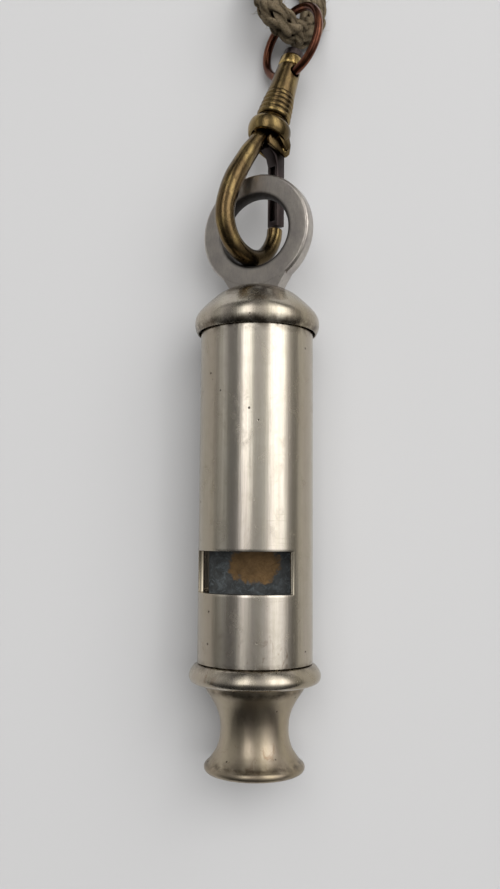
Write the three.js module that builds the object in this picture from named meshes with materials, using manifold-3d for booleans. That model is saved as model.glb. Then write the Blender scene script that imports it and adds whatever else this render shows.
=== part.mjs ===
// Round two-note training whistle, hung on a brass swivel snap hook, a copper ring and a plaited lanyard.
// Millimetres. Y runs along the whistle from the mouthpiece to the hanging loop, Z is up from the table.

import * as THREE from 'three';
import { mergeVertices } from 'three/addons/utils/BufferGeometryUtils.js';
import Module from 'manifold-3d';

const wasm = await Module();
wasm.setup();

const DEG = Math.PI / 180;
const GAP = 0.3;                 // clearance between neighbouring pieces

// Whistle tube and its two windows
const TUBE_R = 8.25;
const TUBE_BORE = 7.5;
const TUBE_BASE = -25.2;
const TUBE_TOP = 23.6;
const WINDOW_LOW = -15.22;
const WINDOW_HIGH = -9.4;
const WINDOW_HALF = 59.5 * DEG;  // each window spans this angle either side of its middle
const WINDOW_TURN = 20.5 * DEG;  // the first window faces up and this far towards -X

// Domed cap and flat hanging loop
const CAP_LOW = 22.3;
const CAP_BORE = TUBE_R + GAP;
const LOOP_R = 8.3;
const LOOP_HOLE = 5.42;
const LOOP_THICK = 2.4;
const LOOP_Y = 37.8;
const LOOP_TURN = 26 * DEG;      // the loop's face is turned this far about the whistle's axis
const SHANK_R = 1.4;

// Mouthpiece end
const COLLAR_R = 9.4;            // the fattest ring, which the whistle rests on
const SPIGOT_R = TUBE_BORE - GAP;
const SPIGOT_TOP = -24.2;

// Divider, windway blocks and chamber stops inside the tube
const PLATE_THICK = 0.8;
const PLATE_LOW = -22.3;
const BLOCK_R = 6.5;
const BLOCK_TOP = -15.6;
const STOP_R = TUBE_BORE - GAP;
const STOP_FRONT = [20, 22.3];
const STOP_BACK = [11, 13.3];

// Snap hook: its own Y runs up its barrel, its X points to the gate side
const HOOK_AT = [1.75, 54.65, -1.45];
const HOOK_HEADING = 15.6 * DEG; // swung towards +X
const HOOK_SLOPE = -10 * DEG;    // head end lower than the bow
const HOOK_ROLL = 40 * DEG;      // gate side lower than the bow side
const CHEEK_IN = 1.25;
const CHEEK_OUT = 1.85;
const GATE_PIVOT = [2.4, -2.5];
const GATE_LEAN = 20.5 * DEG;
const GATE_HALF_DEEP = 0.72;
const GATE_HALF_WIDE = 0.95;
const GATE_LONG = 11.4;
const PIN_R = 0.4;
const CROSS_HOLE_Y = 10.3;
const CROSS_HOLE_R = 1.0;

// Copper ring
const RING_R = 5.8;
const WIRE_R = 0.52;
const RING_LEAN = 10 * DEG;
const RING_DROP = 0.12;          // how far the wire sits below the middle of the cross hole

// Lanyard
const CORD_R = 2.2;
const CORD_SIDES = 10;
const HANK_R = 15.6;
const HANK_STRAIGHT = 86;
const HANK_HIGH = 13.6;
const HANK_X = 3.5;
const HANK_Y = 172.1;
const TIE_THICK = 0.6;
const TIE_WIDE = 8;

const finish = (color, roughness, metalness) => new THREE.MeshStandardMaterial({ color, roughness, metalness });
const NICKEL = finish(0xb9b4a8, 0.32, 1);
const LOOP_METAL = finish(0x8d8a86, 0.45, 1);
const INNER_BRASS = finish(0x5c5140, 0.7, 0.8);
const AGED_BRASS = finish(0x7a6237, 0.42, 1);
const BRIGHT_BRASS = finish(0xb08d3e, 0.3, 1);
const DARK_STEEL = finish(0x46424a, 0.4, 1);
const COPPER = finish(0x6b3a2c, 0.38, 1);
const HEMP = finish(0x8a8468, 0.95, 0);

// --- geometry helpers -----------------------------------------------------------------------------

function toSolid(geometry) {
  const bare = geometry.clone();
  bare.deleteAttribute('normal');
  bare.deleteAttribute('uv');
  const merged = mergeVertices(bare, 1e-5);
  return new wasm.Manifold(new wasm.Mesh({
    numProp: 3,
    vertProperties: new Float32Array(merged.attributes.position.array),
    triVerts: new Uint32Array(merged.index.array),
  }));
}

function toGeometry(solid) {
  const mesh = solid.getMesh();
  const geometry = new THREE.BufferGeometry();
  geometry.setAttribute('position', new THREE.BufferAttribute(new Float32Array(mesh.vertProperties), 3));
  geometry.setIndex(new THREE.BufferAttribute(new Uint32Array(mesh.triVerts), 1));
  geometry.computeVertexNormals();
  return geometry;
}

const join = (...list) => toGeometry(list.map(toSolid).reduce((a, b) => a.add(b)));
const cut = (from, ...tools) => toGeometry(tools.map(toSolid).reduce((a, b) => a.subtract(b), toSolid(from)));

// A turned shape about Y. The [radius, y] points run anticlockwise: up the outside, down the inside.
function turned(profile, segments = 40, closed = false) {
  const points = profile.map(([r, y]) => new THREE.Vector2(r, y));
  if (closed) points.push(points[0].clone());
  return new THREE.LatheGeometry(points, segments);
}

const tubeBetween = (inner, outer, low, high, segments = 40) =>
  turned([[inner, low], [outer, low], [outer, high], [inner, high]], segments, true);

const rod = (radius, low, high, segments = 24) =>
  turned([[0, low], [radius, low], [radius, high], [0, high]], segments);

// A flat shape in XY, centred on z = 0
function slab(points, thickness, hole = null) {
  const shape = points instanceof THREE.Shape ? points
    : new THREE.Shape(points.map(([x, y]) => new THREE.Vector2(x, y)));
  if (hole) shape.holes.push(hole);
  return new THREE.ExtrudeGeometry(shape, { depth: thickness, bevelEnabled: false, curveSegments: 16 })
    .translate(0, 0, -thickness / 2);
}

function box(x0, x1, y0, y1, z0, z1) {
  return new THREE.BoxGeometry(x1 - x0, y1 - y0, z1 - z0)
    .translate((x0 + x1) / 2, (y0 + y1) / 2, (z0 + z1) / 2);
}

// A disc segment in XZ, bulging along +Z above z = base, between two heights along Y
function halfDisc(radius, base, low, high) {
  const start = Math.asin(base / radius);
  const shape = new THREE.Shape();
  shape.absarc(0, 0, radius, start, Math.PI - start, false);
  return new THREE.ExtrudeGeometry(shape, { depth: high - low, bevelEnabled: false, curveSegments: 20 })
    .rotateX(Math.PI / 2).translate(0, high, 0);
}

// A round bar of changing radius, turned straight and then bent along a flat curve in XY
function bentBar(radii, curve, segments, steps) {
  const table = new THREE.SplineCurve(radii.map(([u, r]) => new THREE.Vector2(u, r)));
  const profile = [[0, 0]];
  for (let i = 0; i <= steps; i++) {
    const p = table.getPoint(i / steps);
    profile.push([p.y, p.x]);
  }
  profile.push([0, 1]);
  const bar = turned(profile, segments);
  const at = bar.attributes.position;
  for (let i = 0; i < at.count; i++) {
    const u = THREE.MathUtils.clamp(at.getY(i), 0, 1);
    const centre = curve.getPointAt(u);
    const along = curve.getTangentAt(u);
    at.setXYZ(i, centre.x + along.y * at.getX(i), centre.y - along.x * at.getX(i), at.getZ(i));
  }
  return bar;
}

// A plain tube of cord along a smooth curve through the points
function cordTube(points, steps) {
  const section = new THREE.Shape();
  for (let i = 0; i < CORD_SIDES; i++) {
    const angle = (i / CORD_SIDES) * 2 * Math.PI;
    const method = i ? 'lineTo' : 'moveTo';
    section[method](CORD_R * Math.cos(angle), CORD_R * Math.sin(angle));
  }
  const extrudePath = new THREE.CatmullRomCurve3(points.map((p) => new THREE.Vector3(...p)));
  return new THREE.ExtrudeGeometry(section, { steps, extrudePath, bevelEnabled: false });
}

// A stadium: two half circles joined by straight sides along Y
function stadium(radius, straight, path = new THREE.Shape()) {
  path.moveTo(radius, -straight / 2);
  path.lineTo(radius, straight / 2);
  path.absarc(0, straight / 2, radius, 0, Math.PI, false);
  path.lineTo(-radius, -straight / 2);
  path.absarc(0, -straight / 2, radius, Math.PI, 2 * Math.PI, false);
  return path;
}

function part(name, geometry, material, parent) {
  const mesh = new THREE.Mesh(geometry, material);
  mesh.name = name;
  parent.add(mesh);
  return mesh;
}

// --- whistle --------------------------------------------------------------------------------------

const assembly = new THREE.Group();
const whistle = new THREE.Group();
assembly.add(whistle);

// Turned about Y so that local +Z faces out of the first window
const windowFrame = new THREE.Group();
windowFrame.rotation.y = -WINDOW_TURN;
whistle.add(windowFrame);

// A wedge from the axis, so the window's sides are radial
const windowReach = TUBE_R + 2;
const windowStart = Math.PI / 2 - WINDOW_HALF;
const windowShape = new THREE.Shape();
windowShape.moveTo(0, 0);
windowShape.lineTo(windowReach * Math.cos(windowStart), windowReach * Math.sin(windowStart));
windowShape.absarc(0, 0, windowReach, windowStart, Math.PI - windowStart, false);
const windowCutter = new THREE.ExtrudeGeometry(windowShape, {
  depth: WINDOW_HIGH - WINDOW_LOW, bevelEnabled: false, curveSegments: 16,
}).rotateX(Math.PI / 2).translate(0, WINDOW_HIGH, 0);
const frontCutter = windowCutter.clone().rotateY(Math.PI);
const barrelTube = cut(tubeBetween(TUBE_BORE, TUBE_R, TUBE_BASE, TUBE_TOP, 48), windowCutter, frontCutter);
part('barrel_tube', barrelTube, NICKEL, windowFrame);

const halfPlate = PLATE_THICK / 2;
part('septum_plate', box(-7.1, 7.1, PLATE_LOW, 22.6, -halfPlate, halfPlate), INNER_BRASS, windowFrame);
const block = halfDisc(BLOCK_R, halfPlate + GAP, PLATE_LOW, BLOCK_TOP);
part('windway_block_front', block, INNER_BRASS, windowFrame);
part('windway_block_back', block.clone().rotateY(Math.PI), INNER_BRASS, windowFrame);
part('chamber_stop_front', halfDisc(STOP_R, halfPlate + GAP, ...STOP_FRONT), INNER_BRASS, windowFrame);
part('chamber_stop_back', halfDisc(STOP_R, halfPlate + GAP, ...STOP_BACK).rotateY(Math.PI), INNER_BRASS,
  windowFrame);

// The cap is a spun dome with a short skirt, slotted where the loop is sunk into it
const capBody = turned([
  [CAP_BORE, CAP_LOW], [9.0, CAP_LOW], [9.15, 23.3], [9.15, 24.6], [8.95, 25.8], [8.3, 26.9], [7.35, 27.8],
  [6.2, 28.7], [5.2, 29.4], [3.9, 30.0], [0, 30.2],
  [0, 29.3], [3.6, 29.1], [5.2, 28.4], [6.6, 27.2], [7.6, 26.1], [8.2, 25.2], [CAP_BORE, 24.6],
], 40, true);
const loopFrame = (geometry) => geometry.rotateY(-LOOP_TURN);
const loopSlot = loopFrame(rod(LOOP_R + GAP, -LOOP_THICK / 2 - GAP, LOOP_THICK / 2 + GAP, 48)
  .rotateX(Math.PI / 2).translate(0, LOOP_Y, 0));
const shankHole = rod(SHANK_R + GAP, 26, 32);
part('cap_dome', cut(capBody, loopSlot, shankHole), NICKEL, whistle);

// Flat ring with softened edges, and the riveted shank that holds it in the cap
const edge = 0.3;
const half = LOOP_THICK / 2;
const loopRing = turned([
  [LOOP_HOLE, -half + edge], [LOOP_HOLE + edge, -half], [LOOP_R - edge, -half], [LOOP_R, -half + edge],
  [LOOP_R, half - edge], [LOOP_R - edge, half], [LOOP_HOLE + edge, half], [LOOP_HOLE, half - edge],
], 44, true).rotateX(Math.PI / 2).translate(0, LOOP_Y, 0);
const shank = turned([[0, 27.5], [2.4, 27.5], [2.4, 28.6], [SHANK_R, 28.6], [SHANK_R, 29.4], [0.9, 30.3],
  [0, 30.3]], 24);
part('hanging_loop', join(loopFrame(loopRing), shank), LOOP_METAL, whistle);

part('collar_ring', turned([
  [TUBE_BORE, -28.3], [8.6, -28.3], [9.2, -27.9], [COLLAR_R, -27.3], [COLLAR_R, -26.7], [9.1, -25.9],
  [8.6, -25.5], [TUBE_BORE, -25.5],
], 40, true), NICKEL, whistle);

part('mouthpiece', turned([
  [3.4, -40.6], [6.1, -40.6], [6.75, -40.35], [7.1, -39.7], [7.0, -39.2], [6.5, -38.6], [6.0, -38.1],
  [5.3, -36.8], [4.9, -35.6], [4.82, -34.3], [4.9, -33.1], [5.3, -31.7], [5.8, -30.6], [6.35, -29.8],
  [7.0, -28.9], [SPIGOT_R, -28.6], [SPIGOT_R, SPIGOT_TOP], [6.4, SPIGOT_TOP], [6.2, -25.6], [3.7, -32.5],
  [3.4, -36],
], 40, true), NICKEL, whistle);

// --- snap hook ------------------------------------------------------------------------------------

const hook = new THREE.Group();
hook.position.set(...HOOK_AT);
hook.rotation.set(HOOK_SLOPE, HOOK_ROLL, -HOOK_HEADING, 'ZXY');
assembly.add(hook);

const bell = turned([
  [0, -0.4], [2.45, -0.4], [2.5, -1.6], [3.0, -1.6], [3.25, -0.9], [3.32, -0.2], [3.2, 0.6], [2.75, 1.05],
  [2.45, 1.5], [1.6, 1.5], [1.6, 2.4], [0, 2.4],
], 24);
const bowLine = new THREE.SplineCurve([
  [-1.1, 0.3], [-1.15, -1.6], [-1.75, -3.6], [-2.4, -5.9], [-3.05, -8.8], [-3.45, -11.1], [-3.53, -13.9],
  [-3.15, -16.3], [-2.0, -18.3], [-0.3, -19.9], [1.7, -20.6], [3.8, -20.4], [5.5, -19.2], [6.5, -17.4],
  [6.75, -15.4], [6.4, -13.95],
].map((p) => new THREE.Vector2(...p)));
const bowRadii = [[0, 1.0], [0.08, 1.08], [0.2, 1.25], [0.33, 1.4], [0.5, 1.35], [0.68, 1.2], [0.85, 1.1],
  [1, 1.0]];
const bow = bentBar(bowRadii, bowLine, 16, 30);
const cheek = [[-0.9, 0], [2.6, 0], [3.5, -1.6], [3.65, -2.6], [3.3, -3.3], [-0.5, -3.3], [-0.9, -2.6]];
const cheekThick = CHEEK_OUT - CHEEK_IN;
const cheekMid = (CHEEK_OUT + CHEEK_IN) / 2;
const gateSlot = box(0.1, 5, -3.6, -0.4, -CHEEK_IN, CHEEK_IN);
const pinHole = rod(PIN_R + GAP, -3, 3, 16).rotateX(Math.PI / 2)
  .translate(GATE_PIVOT[0], GATE_PIVOT[1], 0);
const hookBody = join(bell, bow, slab(cheek, cheekThick).translate(0, 0, cheekMid),
  slab(cheek, cheekThick).translate(0, 0, -cheekMid));
part('hook_body', cut(hookBody, gateSlot, pinHole), AGED_BRASS, hook);

// Sprung gate: a folded steel channel with a solid heel at its pivot
const gateFrame = new THREE.Group();
gateFrame.position.set(GATE_PIVOT[0], GATE_PIVOT[1], 0);
gateFrame.rotation.z = GATE_LEAN;
hook.add(gateFrame);
const gateOutline = [
  [-GATE_HALF_DEEP, -GATE_LONG], [GATE_HALF_DEEP, -GATE_LONG], [GATE_HALF_DEEP, 0.1], [0.5, 0.7],
  [-0.2, 0.85], [-0.95, 0.8], [-2.05, 0.85], [-2.25, 0.1], [-1.2, -0.95], [-GATE_HALF_DEEP, -2.2],
];
const gateSolid = cut(slab(gateOutline, 2 * GATE_HALF_WIDE),
  box(-2, GATE_HALF_DEEP - 0.35, 0.7 - GATE_LONG, -2.4, -0.6, 0.6),
  rod(PIN_R + GAP, -3, 3, 16).rotateX(Math.PI / 2));
part('gate', gateSolid, DARK_STEEL, gateFrame);

const headZ = CHEEK_OUT + GAP;
const pinProfile = [[0, -headZ - 0.35], [0.65, -headZ - 0.35], [0.65, -headZ], [PIN_R, -headZ],
  [PIN_R, headZ], [0.65, headZ], [0.65, headZ + 0.35], [0, headZ + 0.35]];
part('gate_pin', turned(pinProfile, 16).rotateX(Math.PI / 2).translate(...GATE_PIVOT, 0), BRIGHT_BRASS, hook);

const springLeaf = [[0.3, -0.72], [2.0, -0.72], [2.0, -0.92], [0.62, -0.92], [0.62, -1.0], [1.4, -1.2],
  [1.35, -1.38], [0.3, -1.1]];
part('gate_spring', slab(springLeaf, 1.2), DARK_STEEL, hook);

// Grooved sleeve that the swivel turns in
const sleeve = [[1.9, 1.8], [2.5, 1.8]];
for (let i = 0; i < 4; i++) {
  const y = 2.1 + i * 0.85;
  const r = 2.62 - i * 0.09;
  sleeve.push([r, y], [r, y + 0.3], [r - 0.2, y + 0.5], [r - 0.2, y + 0.65]);
}
sleeve.push([2.3, 5.6], [2.2, 6.1], [1.2, 6.1], [1.2, 4.6], [1.9, 4.6]);
part('barrel_sleeve', turned(sleeve, 24, true), AGED_BRASS, hook);

const headBody = turned([
  [0, 3.0], [1.5, 3.0], [1.5, 3.5], [0.9, 3.5], [0.9, 6.4], [2.2, 6.4], [2.08, 7.6], [1.9, 10.3],
  [1.75, 12.0], [1.55, 12.3], [0.8, 12.3], [0.8, 14.9], [0, 14.9],
], 24);
const crossHole = rod(CROSS_HOLE_R, -3, 3, 20).rotateX(Math.PI / 2).translate(0, CROSS_HOLE_Y, 0);
part('swivel_head', cut(headBody, crossHole), AGED_BRASS, hook);
part('swivel_washer', tubeBetween(1.2, 1.6, 3.8, 4.3, 20), DARK_STEEL, hook);
part('head_collar', turned([[1.1, 12.6], [1.42, 12.6], [1.5, 12.85], [1.5, 13.35], [1.42, 13.6],
  [1.1, 13.6]], 24, true), BRIGHT_BRASS, hook);
part('head_washer', tubeBetween(1.1, 1.45, 13.9, 14.7, 24), DARK_STEEL, hook);

// --- copper ring ----------------------------------------------------------------------------------

const ringFrame = new THREE.Group();
ringFrame.position.set(0, CROSS_HOLE_Y, 0);
ringFrame.rotation.z = RING_LEAN;
hook.add(ringFrame);
const wireSection = [];
for (let i = 0; i < 8; i++) {
  const angle = (i / 8) * 2 * Math.PI;
  wireSection.push([RING_R + WIRE_R * Math.cos(angle), WIRE_R * Math.sin(angle)]);
}
part('copper_ring', turned(wireSection, 36, true).rotateZ(Math.PI / 2)
  .translate(0, RING_R - RING_DROP, 0), COPPER, ringFrame);

// --- lanyard --------------------------------------------------------------------------------------

const TABLE = -COLLAR_R;
const LIE = TABLE + CORD_R + 0.08;   // height of a cord's middle when it lies on the table
const lanyard = new THREE.Group();
assembly.add(lanyard);

const EYE = [
  [0.4, 88.0, LIE], [0.4, 86.4, LIE], [0.45, 84.2, -6.2], [0.6, 81.4, -4.3], [1.0, 77.4, -2.2],
  [1.9, 73.9, -0.9], [3.5, 72.1, -1.2], [5.6, 71.9, -3.7], [7.7, 72.7, -6.3], [9.2, 74.3, LIE], [9.9, 76.9, LIE],
  [9.7, 79.9, LIE], [8.6, 82.3, LIE], [7.2, 84.5, LIE], [6.6, 86.4, LIE], [6.6, 88.0, LIE],
];
part('lanyard_eye', cordTube(EYE, 36), HEMP, lanyard);

// Whipping of twine that clamps the two legs of the eye together
const WHIP = { x: 3.5, low: 88.4, high: 95.7, halfWide: 5.6, halfHigh: 2.35 };
const whipShape = stadium(WHIP.halfHigh, 2 * (WHIP.halfWide - WHIP.halfHigh));
part('lanyard_whipping', slab(whipShape, WHIP.high - WHIP.low).rotateZ(Math.PI / 2).rotateX(Math.PI / 2)
  .translate(WHIP.x, (WHIP.low + WHIP.high) / 2, TABLE + WHIP.halfHigh), HEMP, lanyard);

const HANK_BASE = TABLE + TIE_THICK + GAP + 0.02;
// One leg of the cord enters the bottom of the hank and the other comes down from its top
const LEAD_A = [[0.4, 96.0, LIE], [0.4, 100.0, LIE], [-0.4, 105.5, LIE + 0.7], [-2.2, 112.8, LIE + 1.2]];
const LEAD_B = [
  [6.6, 96.0, LIE], [6.6, 98.5, LIE + 0.4], [7.0, 103.0, LIE + 3.0], [8.0, 108.0, LIE + 7.4],
  [9.2, 112.6, LIE + 9.6],
];
part('lanyard_lead_a', cordTube(LEAD_A, 6), HEMP, lanyard);
part('lanyard_lead_b', cordTube(LEAD_B, 10), HEMP, lanyard);
part('lanyard_hank', slab(stadium(HANK_R, HANK_STRAIGHT), HANK_HIGH)
  .translate(HANK_X, HANK_Y, HANK_BASE + HANK_HIGH / 2), HEMP, lanyard);

// Tie round the middle of the hank
const tieIn = { w: HANK_R + GAP, h: HANK_HIGH / 2 + GAP };
const rect = (w, h) => [[-w, -h], [w, -h], [w, h], [-w, h]].map((p) => new THREE.Vector2(...p));
const tie = slab(new THREE.Shape(rect(tieIn.w + TIE_THICK, tieIn.h + TIE_THICK)), TIE_WIDE,
  new THREE.Path(rect(tieIn.w, tieIn.h)));
part('hank_tie', tie.rotateX(Math.PI / 2)
  .translate(HANK_X, HANK_Y, HANK_BASE + HANK_HIGH / 2), HEMP, lanyard);

// --- origin: under the middle of the hardware, on the table ---------------------------------------

assembly.updateMatrixWorld(true);
const bounds = new THREE.Box3().expandByObject(whistle, true).expandByObject(hook, true);
assembly.position.set(-(bounds.min.x + bounds.max.x) / 2, -(bounds.min.y + bounds.max.y) / 2, COLLAR_R);

const object = new THREE.Group();
object.add(assembly);
export default object;
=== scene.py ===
"""Looks of a round two-note training whistle on a snap hook, copper ring and plaited lanyard."""
import math
import random

import bmesh
import bpy
from mathutils import Matrix, Vector


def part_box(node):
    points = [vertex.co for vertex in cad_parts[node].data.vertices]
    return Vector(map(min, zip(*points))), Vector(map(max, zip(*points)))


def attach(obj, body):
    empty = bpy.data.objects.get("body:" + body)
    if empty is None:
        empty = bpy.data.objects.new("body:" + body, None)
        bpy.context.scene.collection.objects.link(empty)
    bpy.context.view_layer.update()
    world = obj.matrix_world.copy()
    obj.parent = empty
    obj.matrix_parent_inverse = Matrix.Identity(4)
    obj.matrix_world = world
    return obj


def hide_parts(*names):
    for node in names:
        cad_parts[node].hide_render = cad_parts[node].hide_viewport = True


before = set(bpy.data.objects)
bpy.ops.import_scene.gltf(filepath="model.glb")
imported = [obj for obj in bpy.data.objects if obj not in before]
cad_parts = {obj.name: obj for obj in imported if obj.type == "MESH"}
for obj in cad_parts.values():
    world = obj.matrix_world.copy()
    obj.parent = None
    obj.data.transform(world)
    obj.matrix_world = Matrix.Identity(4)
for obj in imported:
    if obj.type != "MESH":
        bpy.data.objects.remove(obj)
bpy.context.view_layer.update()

MM = 0.001
DEG = math.pi / 180

# --- driving sizes, in millimetres ----------------------------------------------------------------

# Most are the CAD source's. The loop's, the gate's, the wire's and the cross hole's differ a little.

TUBE_R, TUBE_BORE = 8.25, 7.5
TUBE_BASE, TUBE_TOP = -25.2, 23.6
WINDOW_LOW, WINDOW_HIGH = -15.22, -9.4
WINDOW_HALF, WINDOW_TURN = 59.5 * DEG, 20.5 * DEG
CAP_LOW, CAP_BORE = 22.3, 8.55
LOOP_R, LOOP_HOLE, LOOP_THICK, LOOP_Y = 8.65, 5.22, 2.4, 37.95
LOOP_TURN = 26 * DEG
COLLAR_R = 9.4
LIP_Y = -40.6
HOOK_AT = (1.75, 54.65, -1.45)
HOOK_HEADING, HOOK_SLOPE, HOOK_ROLL = 15.6 * DEG, -10 * DEG, 40 * DEG
CHEEK_IN, CHEEK_OUT = 1.25, 1.85
GATE_PIVOT, GATE_LEAN = (2.4, -2.5), 20.5 * DEG
GATE_HALF_DEEP, GATE_HALF_WIDE, GATE_LONG = 0.78, 1.05, 11.5
CROSS_HOLE_Y, CROSS_HOLE_R = 10.3, 0.92
RING_R, WIRE_R, RING_LEAN, RING_DROP = 5.8, 0.66, 10 * DEG, 0.12
CORD_R = 2.2
TABLE = -COLLAR_R
LIE = TABLE + CORD_R + 0.08     # height of the middle of a cord that lies on the table
HANK_X, HANK_Y, HANK_HALF, HANK_LANE = 3.5, 172.1, 43.0, 13.2
HANK_LOW = TABLE + 0.92 + 2.25  # the lowest lap's middle: the tie's room, then half the plait
HANK_LAYER = 4.45               # one lap's rise over the next

# --- places: each maps a group's own millimetres to the row frame in metres -----------------------

collar_low, collar_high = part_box("collar_ring")
WHISTLE = Matrix.Translation((
    (collar_low.x + collar_high.x) / 2,
    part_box("mouthpiece")[0].y - LIP_Y * MM,
    (collar_low.z + collar_high.z) / 2,
)) @ Matrix.Scale(MM, 4)
WINDOWS = WHISTLE @ Matrix.Rotation(-WINDOW_TURN, 4, "Y")
LOOP = WHISTLE @ Matrix.Rotation(-LOOP_TURN, 4, "Y")
HOOK = (WHISTLE @ Matrix.Translation(HOOK_AT) @ Matrix.Rotation(-HOOK_HEADING, 4, "Z")
        @ Matrix.Rotation(HOOK_SLOPE, 4, "X") @ Matrix.Rotation(HOOK_ROLL, 4, "Y"))
GATE = HOOK @ Matrix.Translation((*GATE_PIVOT, 0)) @ Matrix.Rotation(GATE_LEAN, 4, "Z")
RING = HOOK @ Matrix.Translation((0, CROSS_HOLE_Y, 0)) @ Matrix.Rotation(RING_LEAN, 4, "Z")


# --- camera ---------------------------------------------------------------------------------------

CAMERA_AT = (-0.805, -7.102, 130.004)
CAMERA_TILT, CAMERA_ROLL, CAMERA_YAW = 0.10074, 0.007156, 0.000207
CAMERA_LENS = 36.169


def make_camera():
    data = bpy.data.cameras.new("camera")
    data.lens = CAMERA_LENS
    data.sensor_width = 36
    data.clip_start = 0.005
    camera = bpy.data.objects.new("camera", data)
    bpy.context.scene.collection.objects.link(camera)
    turn = (Matrix.Rotation(CAMERA_ROLL, 4, "Z") @ Matrix.Rotation(CAMERA_TILT, 4, "X")
            @ Matrix.Rotation(CAMERA_YAW, 4, "Y"))
    camera.matrix_world = Matrix.Translation(WHISTLE @ Vector(CAMERA_AT)) @ turn
    bpy.context.scene.camera = camera


# --- mesh helpers ---------------------------------------------------------------------------------

SHARP = 35                      # a fold of more degrees than this is drawn as an edge


class Shell:
    """Vertices and faces of one or more closed surfaces, in a group's own millimetres."""

    def __init__(self):
        self.verts = []
        self.faces = []
        # painted shade for the plait's crevices, kept per vertex
        self.crevice_shade = {}         # how deep in a groove a vertex lies, from 0 to 1

    def ring_of(self, points):
        first = len(self.verts)
        self.verts.extend(points)
        return list(range(first, len(self.verts)))

    def bridge(self, a, b):
        """Quads, or triangles at a pole, between two rings."""
        count = max(len(a), len(b))
        for i in range(count):
            j = (i + 1) % count
            if len(a) == 1:
                self.faces.append((a[0], b[j], b[i]))
            elif len(b) == 1:
                self.faces.append((a[i], a[j], b[0]))
            else:
                self.faces.append((a[i], a[j], b[j], b[i]))

    def cap(self, ring, flip=False):
        self.faces.append(tuple(reversed(ring)) if flip else tuple(ring))


def mesh_of(name, shell, place):
    mesh = bpy.data.meshes.new(name)
    mesh.from_pydata([place @ Vector(v) for v in shell.verts], [], shell.faces)
    build = bmesh.new()
    build.from_mesh(mesh)
    bmesh.ops.recalc_face_normals(build, faces=build.faces)
    build.to_mesh(mesh)
    build.free()
    return mesh


def piece(name, shell, place, body, material, replaced=(), sharp=SHARP):
    """One visible piece, which rides on a body and stands in for the CAD nodes it replaces."""
    mesh = mesh_of(name, shell, place)
    # the plait's painted crevice shade goes to the mesh, per vertex
    if shell.crevice_shade:
        depth = mesh.attributes.new("crevice_shade", "FLOAT", "POINT")
        for index, value in shell.crevice_shade.items():
            depth.data[index].value = value
    mesh.shade_smooth()
    mesh.set_sharp_from_angle(angle=sharp * DEG)
    mesh.materials.append(material)
    made = bpy.data.objects.new(name, mesh)
    bpy.context.scene.collection.objects.link(made)
    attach(made, body)
    if replaced:
        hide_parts(*replaced)
    return made


def dress(names, material):
    """Gives carried-over CAD nodes a material."""
    for name in names:
        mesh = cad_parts[name].data
        mesh.materials.clear()
        mesh.materials.append(material)


def settle(obj):
    """Applies an object's modifiers to its mesh."""
    graph = bpy.context.evaluated_depsgraph_get()
    mesh = bpy.data.meshes.new_from_object(obj.evaluated_get(graph))
    obj.modifiers.clear()
    obj.data = mesh
    mesh.set_sharp_from_angle(angle=SHARP * DEG)


def cut_with(obj, shell, place):
    """Takes a closed shape away from an object."""
    cutter = bpy.data.objects.new("cutter", mesh_of("cutter", shell, place))
    bpy.context.scene.collection.objects.link(cutter)
    change = obj.modifiers.new("cut", "BOOLEAN")
    change.operation = "DIFFERENCE"
    change.solver = "EXACT"
    change.object = cutter
    settle(obj)
    bpy.data.objects.remove(cutter)


def bevel(obj, width, angle=40):
    change = obj.modifiers.new("bevel", "BEVEL")
    change.width = width * MM
    change.segments = 2
    change.limit_method = "ANGLE"
    change.angle_limit = angle * DEG
    change.harden_normals = False
    settle(obj)


def spline(points, per):
    """A smooth run through the points, with a number of steps between each two."""
    points = [Vector(p) for p in points]
    ends = [2 * points[0] - points[1], *points, 2 * points[-1] - points[-2]]
    out = []
    for i in range(1, len(ends) - 2):
        a, b, c, d = ends[i - 1:i + 3]
        for k in range(per):
            t = k / per
            out.append(0.5 * (2 * b + (c - a) * t + (2 * a - 5 * b + 4 * c - d) * t ** 2
                              + (3 * b - a - 3 * c + d) * t ** 3))
    return out + [points[-1]]


def softened(profile, radius):
    """A closed profile with its sharp corners rounded. Slight bends and corners on the axis stay."""
    steps, slight = 4, 22 * DEG
    points = [Vector(p) for p in profile]
    out = []
    for i, p in enumerate(points):
        to_a, to_b = points[i - 1] - p, points[(i + 1) % len(points)] - p
        if p.x < 1e-6 or to_a.length < 1e-6 or to_b.length < 1e-6:
            out.append(p)
            continue
        if math.pi - to_a.angle(to_b) < slight:
            out.append(p)
            continue
        a = p + to_a.normalized() * min(radius, 0.45 * to_a.length)
        b = p + to_b.normalized() * min(radius, 0.45 * to_b.length)
        for k in range(steps + 1):
            t = k / steps
            out.append((1 - t) ** 2 * a + 2 * t * (1 - t) * p + t ** 2 * b)
    return out


def turned(profile, segments, closed=False, radius=0.12, shell=None):
    """A shape turned about Y from (radius, y) points, its corners rounded by a radius."""
    shell = shell or Shell()
    points = softened(profile, radius) if radius else [Vector(p) for p in profile]
    rings = []
    for p in points:
        if p.x < 1e-6:
            rings.append(shell.ring_of([(0, p.y, 0)]))
            continue
        rings.append(shell.ring_of([
            (p.x * math.sin(a), p.y, p.x * math.cos(a))
            for a in (2 * math.pi * i / segments for i in range(segments))]))
    for a, b in zip(rings, rings[1:]):
        shell.bridge(a, b)
    if closed:
        shell.bridge(rings[-1], rings[0])
    return shell


def on_z(shell, shift):
    """The same shape with its axis turned from Y to Z, then shifted."""
    turn = Matrix.Translation(shift) @ Matrix.Rotation(math.pi / 2, 4, "X")
    shell.verts = [turn @ Vector(v) for v in shell.verts]
    return shell


def rod(radius, low, high, segments=48):
    return turned([(0, low), (radius, low), (radius, high), (0, high)], segments, radius=0)


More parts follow.
